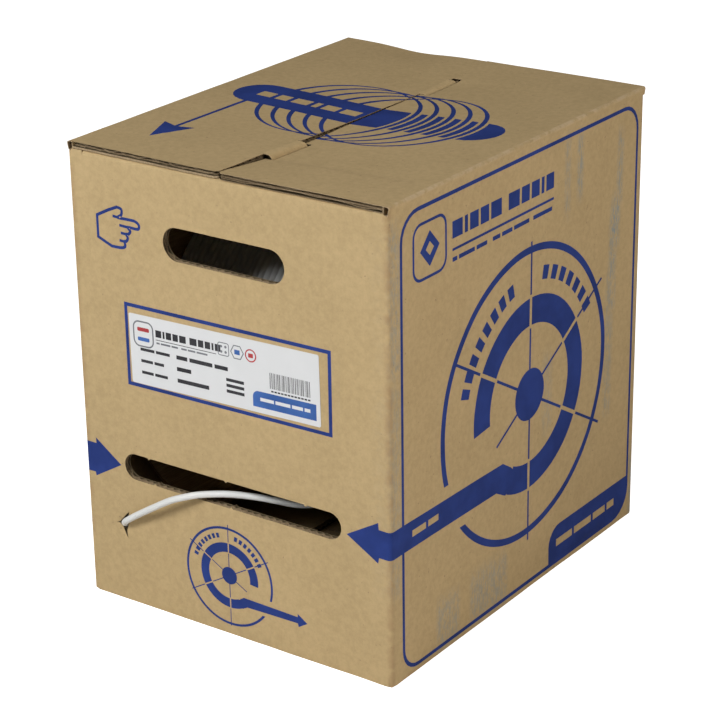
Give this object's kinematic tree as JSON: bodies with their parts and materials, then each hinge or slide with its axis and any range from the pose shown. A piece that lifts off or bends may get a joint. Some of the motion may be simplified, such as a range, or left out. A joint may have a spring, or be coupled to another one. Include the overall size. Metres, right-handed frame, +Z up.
{
  "type": "cable spool box",
  "caption": "Corrugated carton with fold-open top flaps, hand holes and a pay-out slot, holding a reel of data cable that turns on an inner axle.",
  "frame": {"origin": "middle of the carton's base on the surface it stands on", "axes": "+Z up, -Y out of the face with the pay-out slot, +X to the right seen from that face"},
  "size_m": [0.278, 0.3571, 0.36],
  "materials": {
    "kraft_board": "matt",
    "paper_tube": "matt",
    "plywood": "satin",
    "bush_plastic": "matt",
    "cable_jacket": "satin",
    "label_paper": "satin",
    "zinc_steel": "satin"
  },
  "bodies": {
    "carton": {"carton_walls": "kraft_board", "glue_lap": "kraft_board", "bottom_flap_front": "kraft_board", "bottom_flap_rear": "kraft_board", "bottom_flap_left": "kraft_board", "bottom_flap_right": "kraft_board", "axle_board_left": "kraft_board", "axle_board_right": "kraft_board", "axle_tube": "paper_tube", "label": "label_paper", "cable_run": "cable_jacket"},
    "flap_left": {"top_flap_left": "kraft_board"},
    "flap_right": {"top_flap_right": "kraft_board"},
    "flap_front": {"top_flap_front": "kraft_board"},
    "flap_rear": {"top_flap_rear": "kraft_board"},
    "tab_front": {"tuck_tab_front": "kraft_board"},
    "tab_rear": {"tuck_tab_rear": "kraft_board"},
    "reel": {"flange_left": "plywood", "flange_right": "plywood", "hub_bush_left": "bush_plastic", "hub_bush_right": "bush_plastic", "reel_barrel": "paper_tube", "cable_winding": "cable_jacket", "tie_bolt_1": "zinc_steel", "tie_bolt_2": "zinc_steel", "tie_bolt_3": "zinc_steel", "tie_nut_1": "zinc_steel", "tie_nut_2": "zinc_steel", "tie_nut_3": "zinc_steel"}
  },
  "joints": [
    {"name": "top_flap_left_hinge", "type": "hinge", "parent": "carton", "child": "flap_left", "pos_m": [-0.139, 0, 0.36], "axis": [0, -1, 0], "range_deg": [0, 250]},
    {"name": "top_flap_right_hinge", "type": "hinge", "parent": "carton", "child": "flap_right", "pos_m": [0.139, 0, 0.36], "axis": [0, 1, 0], "range_deg": [0, 250]},
    {"name": "top_flap_front_hinge", "type": "hinge", "parent": "carton", "child": "flap_front", "pos_m": [0, -0.167, 0.3477], "axis": [-1, 0, 0], "range_deg": [0, 85]},
    {"name": "top_flap_rear_hinge", "type": "hinge", "parent": "carton", "child": "flap_rear", "pos_m": [0, 0.167, 0.3477], "axis": [1, 0, 0], "range_deg": [0, 85]},
    {"name": "tuck_tab_front_hinge", "type": "hinge", "parent": "flap_left", "child": "tab_front", "pos_m": [0.0057, -0.0985, 0.36], "axis": [0, -1, 0], "range_deg": [0, 90]},
    {"name": "tuck_tab_rear_hinge", "type": "hinge", "parent": "flap_left", "child": "tab_rear", "pos_m": [0.0057, 0.0985, 0.36], "axis": [0, -1, 0], "range_deg": [0, 90]},
    {"name": "reel_spin", "type": "hinge", "parent": "carton", "child": "reel", "pos_m": [0, 0, 0.172], "axis": [1, 0, 0], "continuous": true}
  ],
  "couplings": [
    {"joint": "tuck_tab_front_hinge", "follows": "top_flap_left_hinge", "ratio": 0.36},
    {"joint": "tuck_tab_rear_hinge", "follows": "top_flap_left_hinge", "ratio": 0.36}
  ]
}
